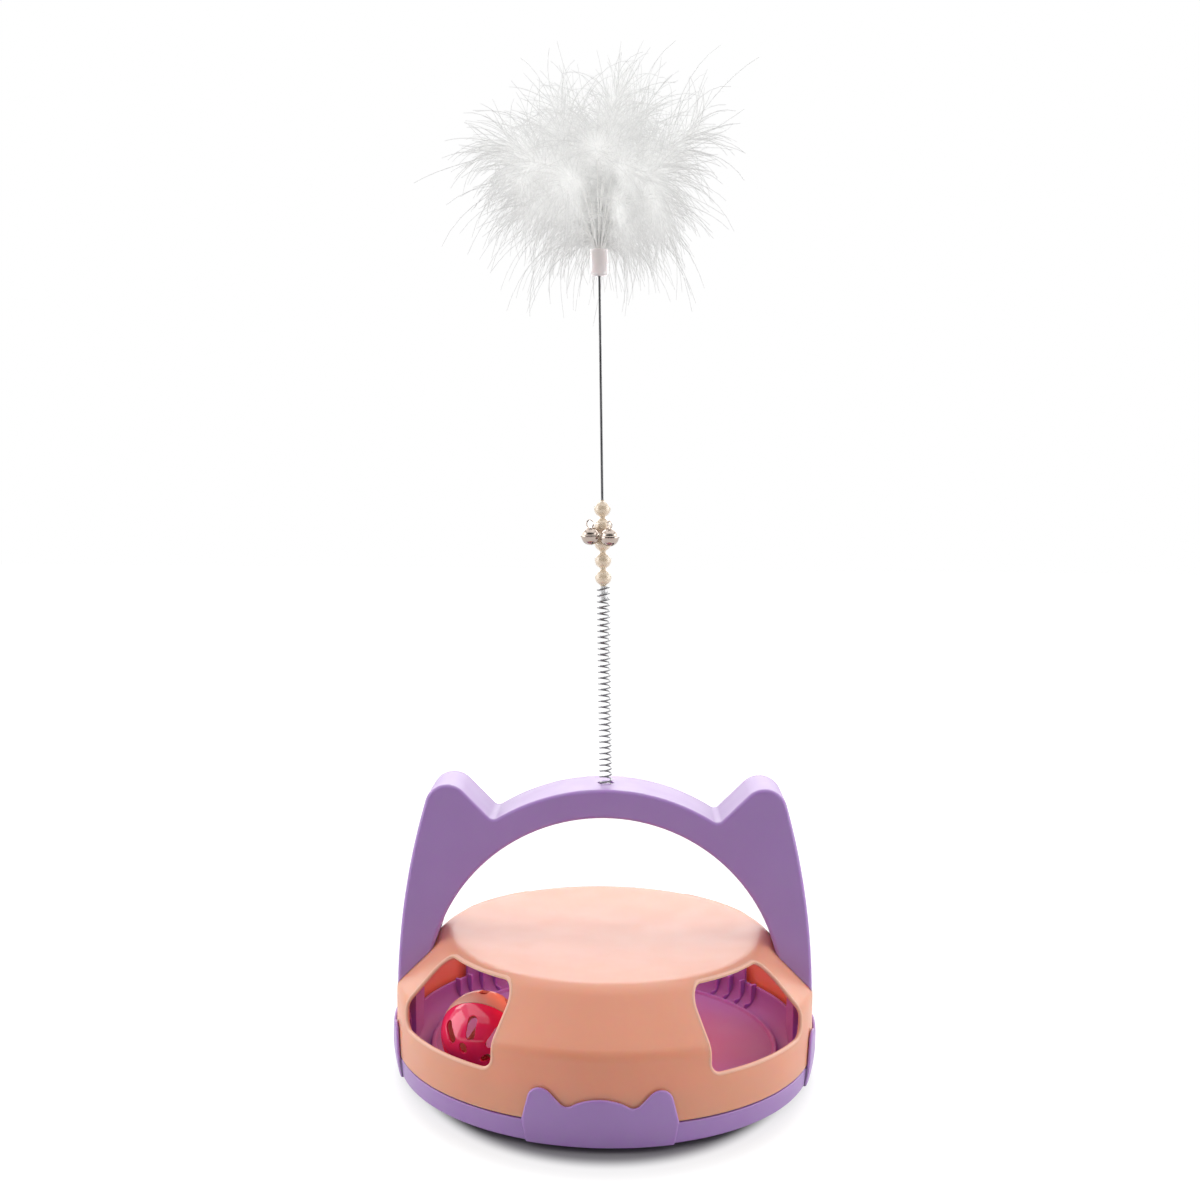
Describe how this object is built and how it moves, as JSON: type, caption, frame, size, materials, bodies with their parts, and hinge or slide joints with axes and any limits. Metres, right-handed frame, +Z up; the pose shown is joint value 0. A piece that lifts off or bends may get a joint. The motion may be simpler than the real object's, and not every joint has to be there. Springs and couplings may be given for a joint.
{
  "type": "interactive cat toy",
  "caption": "Round cat toy: a slotted ball circles a tray under a windowed dished cover, with an eared arched handle that carries a spring wand with beads, jingle bells and a feather plume.",
  "frame": {"origin": "on the floor, under the centre of the round base", "axes": "+Z up along the base's axis, front towards -Y, the handle's arch spans X"},
  "size_m": [0.2534, 0.2534, 0.6028],
  "materials": {
    "purple_plastic": "satin moulded plastic",
    "peach_plastic": "satin moulded plastic",
    "foot_rubber": "matt",
    "screw_steel": "zinc plated",
    "spring_steel": "bright drawn wire",
    "pearl_plastic": "pearl lustre",
    "clear_line": "clear",
    "bell_nickel": "plated, bright",
    "pellet_steel": "bare",
    "ferrule_plastic": "translucent sleeve",
    "feather_white": "down",
    "ball_pink": "translucent",
    "ball_clear": "translucent"
  },
  "bodies": {
    "base": {"base_tray": "purple_plastic", "foot_1": "foot_rubber", "foot_2": "foot_rubber", "foot_3": "foot_rubber", "foot_4": "foot_rubber"},
    "top": {"top_cover": "peach_plastic", "handle_shell": "purple_plastic", "handle_panel": "purple_plastic", "handle_screw_1": "screw_steel", "handle_screw_2": "screw_steel", "handle_screw_3": "screw_steel", "handle_screw_4": "screw_steel", "spring_anchor": "purple_plastic"},
    "spring": {"spring": "spring_steel"},
    "wand": {"wire_plug": "spring_steel", "wand_wire": "spring_steel", "pearl_1": "pearl_plastic", "pearl_2": "pearl_plastic", "pearl_3": "pearl_plastic", "pearl_4": "pearl_plastic", "pearl_5": "pearl_plastic", "bell_ring": "clear_line", "ferrule": "ferrule_plastic", "feather_1": "feather_white", "feather_2": "feather_white", "feather_3": "feather_white", "feather_4": "feather_white", "feather_5": "feather_white", "feather_6": "feather_white", "feather_7": "feather_white", "feather_8": "feather_white", "feather_centre": "feather_white"},
    "bell_left": {"bell_left": "bell_nickel", "bell_left_pellet": "pellet_steel"},
    "bell_right": {"bell_right": "bell_nickel", "bell_right_pellet": "pellet_steel"},
    "rattle": {"rattle_bell": "bell_nickel", "rattle_pellet": "pellet_steel"},
    "ball": {"ball_half_pink": "ball_pink", "ball_half_clear": "ball_clear"}
  },
  "joints": [
    {"name": "top_lift", "type": "slide", "parent": "base", "child": "top", "axis": [0, 0, 1], "range_m": [0, 0.06]},
    {"name": "wand_sway_side", "type": "hinge", "parent": "top", "child": "spring", "pos_m": [-0.00052, 0, 0.19669], "axis": [0, 1, 0], "range_deg": [-70, 70], "stiffness_Nm_per_rad": 0.35, "deforming": ["spring"]},
    {"name": "wand_sway_fore", "type": "hinge", "parent": "spring", "child": "wand", "pos_m": [-0.00182, 0, 0.25868], "axis": [1, 0, 0], "range_deg": [-70, 70], "stiffness_Nm_per_rad": 0.35, "deforming": ["spring"]},
    {"name": "bell_left_swing", "type": "hinge", "parent": "wand", "child": "bell_left", "pos_m": [-0.01036, -0.0067, 0.32762], "axis": [-0.3624, 0.9132, 0.1866], "range_deg": [0, 70]},
    {"name": "bell_right_swing", "type": "hinge", "parent": "wand", "child": "bell_right", "pos_m": [0.001, -0.0102, 0.32711], "axis": [-0.8264, -0.547, -0.1336], "range_deg": [0, 70]},
    {"name": "ball_orbit", "type": "hinge", "parent": "base", "child": "rattle", "pos_m": [0, 0, 0.037], "axis": [0, 0, 1], "continuous": true},
    {"name": "ball_roll", "type": "hinge", "parent": "rattle", "child": "ball", "pos_m": [-0.06903, -0.05393, 0.037], "axis": [-0.788, -0.6157, 0], "continuous": true}
  ],
  "couplings": [
    {"joint": "ball_roll", "follows": "ball_orbit", "ratio": -3.7277}
  ]
}
